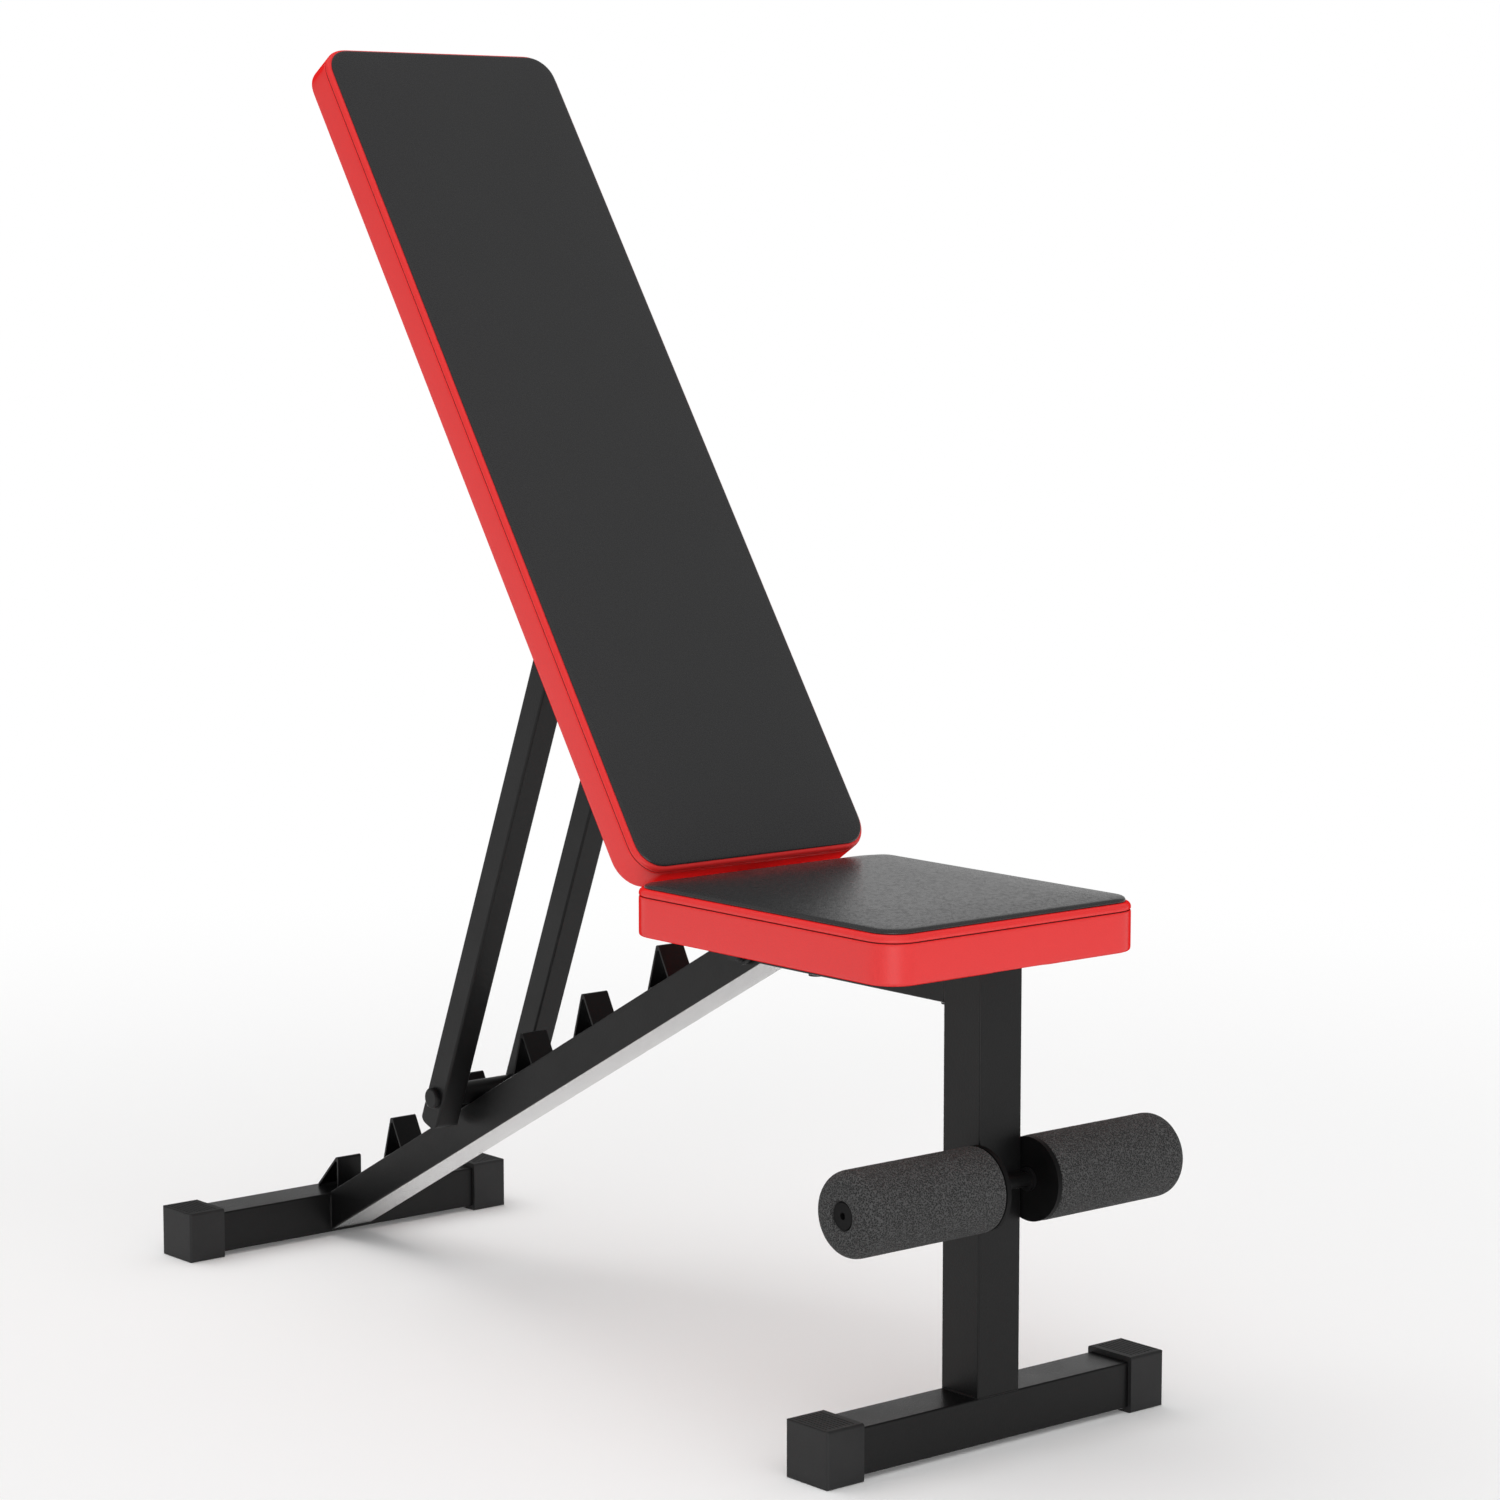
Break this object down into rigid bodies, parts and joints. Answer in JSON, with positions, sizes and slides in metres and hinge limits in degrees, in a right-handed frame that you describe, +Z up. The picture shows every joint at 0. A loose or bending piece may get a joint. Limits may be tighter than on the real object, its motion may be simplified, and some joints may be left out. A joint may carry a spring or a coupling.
{
  "type": "adjustable weight bench",
  "caption": "Adjustable weight bench: seat and hinged backrest on a welded tube frame, a ladder-stop support behind, and foam leg rollers on the front post.",
  "frame": {"origin": "on the floor, under the middle of the bench's overall box", "axes": "+X from the rear foot to the front foot, the way a user sitting on the seat faces; +Y across the bench to that user's left; +Z up"},
  "size_m": [1.0458, 0.382, 1.172],
  "materials": {
    "black_frame": "satin black powder coat, fine orange-peel texture",
    "cap_rubber": "matt moulded rubber, slightly lighter than the frame, ribbed on top",
    "black_fasteners": "black-plated steel bolts, nuts, washers and collars",
    "plywood": "raw plywood under the padding",
    "upholstery": "grained vinyl over foam: a matt black top panel and a red side band with a sewn seam",
    "roller_foam": "closed-cell foam, dark grey with a fine speckled surface",
    "black_plastic": "matt black moulded plastic",
    "nylon_bushes": "natural nylon"
  },
  "bodies": {
    "frame": {"rear_foot_tube": "black_frame", "front_foot_tube": "black_frame", "rear_cap_left": "cap_rubber", "rear_cap_right": "cap_rubber", "front_cap_left": "cap_rubber", "front_cap_right": "cap_rubber", "front_post": "black_frame", "seat_beam": "black_frame", "spine_tube": "black_frame", "stop_1": "black_frame", "stop_2": "black_frame", "stop_3": "black_frame", "stop_4": "black_frame", "stop_5": "black_frame", "stop_6": "black_frame", "pivot_bolt": "black_fasteners", "pivot_nut": "black_fasteners", "seat_board": "plywood", "seat_pad": "upholstery", "seat_bolts": "black_fasteners", "seat_tee_nuts": "black_fasteners", "roller_axle": "black_frame", "axle_collars": "black_fasteners", "axle_lock_rings": "black_fasteners"},
    "backrest": {"backrest_rail": "black_frame", "rail_end_plug": "cap_rubber", "pivot_ear_left": "black_frame", "pivot_ear_right": "black_frame", "pivot_bushes": "nylon_bushes", "hinge_bushes": "nylon_bushes", "backrest_board": "plywood", "backrest_pad": "upholstery", "backrest_bolts": "black_fasteners", "backrest_tee_nuts": "black_fasteners"},
    "support": {"support_leg_left": "black_frame", "support_leg_right": "black_frame", "support_bar": "black_frame", "bar_bolt": "black_frame", "bar_cap_nut": "black_frame", "hinge_bolt": "black_fasteners", "hinge_nut": "black_fasteners", "hinge_spacers": "black_fasteners"},
    "roller_left": {"roller_left_foam": "roller_foam", "roller_left_sleeve": "black_plastic", "roller_left_disc": "black_plastic", "roller_left_plug": "black_plastic"},
    "roller_right": {"roller_right_foam": "roller_foam", "roller_right_sleeve": "black_plastic", "roller_right_disc": "black_plastic", "roller_right_plug": "black_plastic"}
  },
  "joints": [
    {"name": "backrest_recline", "type": "hinge", "parent": "frame", "child": "backrest", "pos_m": [0.1799, 0, 0.3816], "axis": [0, 1, 0], "range_deg": [0, 19]},
    {"name": "support_swing", "type": "hinge", "parent": "backrest", "child": "support", "pos_m": [-0.03873, 0, 0.69014], "axis": [0, -1, 0], "range_deg": [0, 13.5]},
    {"name": "roller_left_spin", "type": "hinge", "parent": "frame", "child": "roller_left", "pos_m": [0.4869, 0.104, 0.2246], "axis": [0, 1, 0], "continuous": true},
    {"name": "roller_right_spin", "type": "hinge", "parent": "frame", "child": "roller_right", "pos_m": [0.4869, -0.104, 0.2246], "axis": [0, 1, 0], "continuous": true}
  ],
  "couplings": [
    {"joint": "support_swing", "follows": "backrest_recline", "ratio": 0.71}
  ]
}
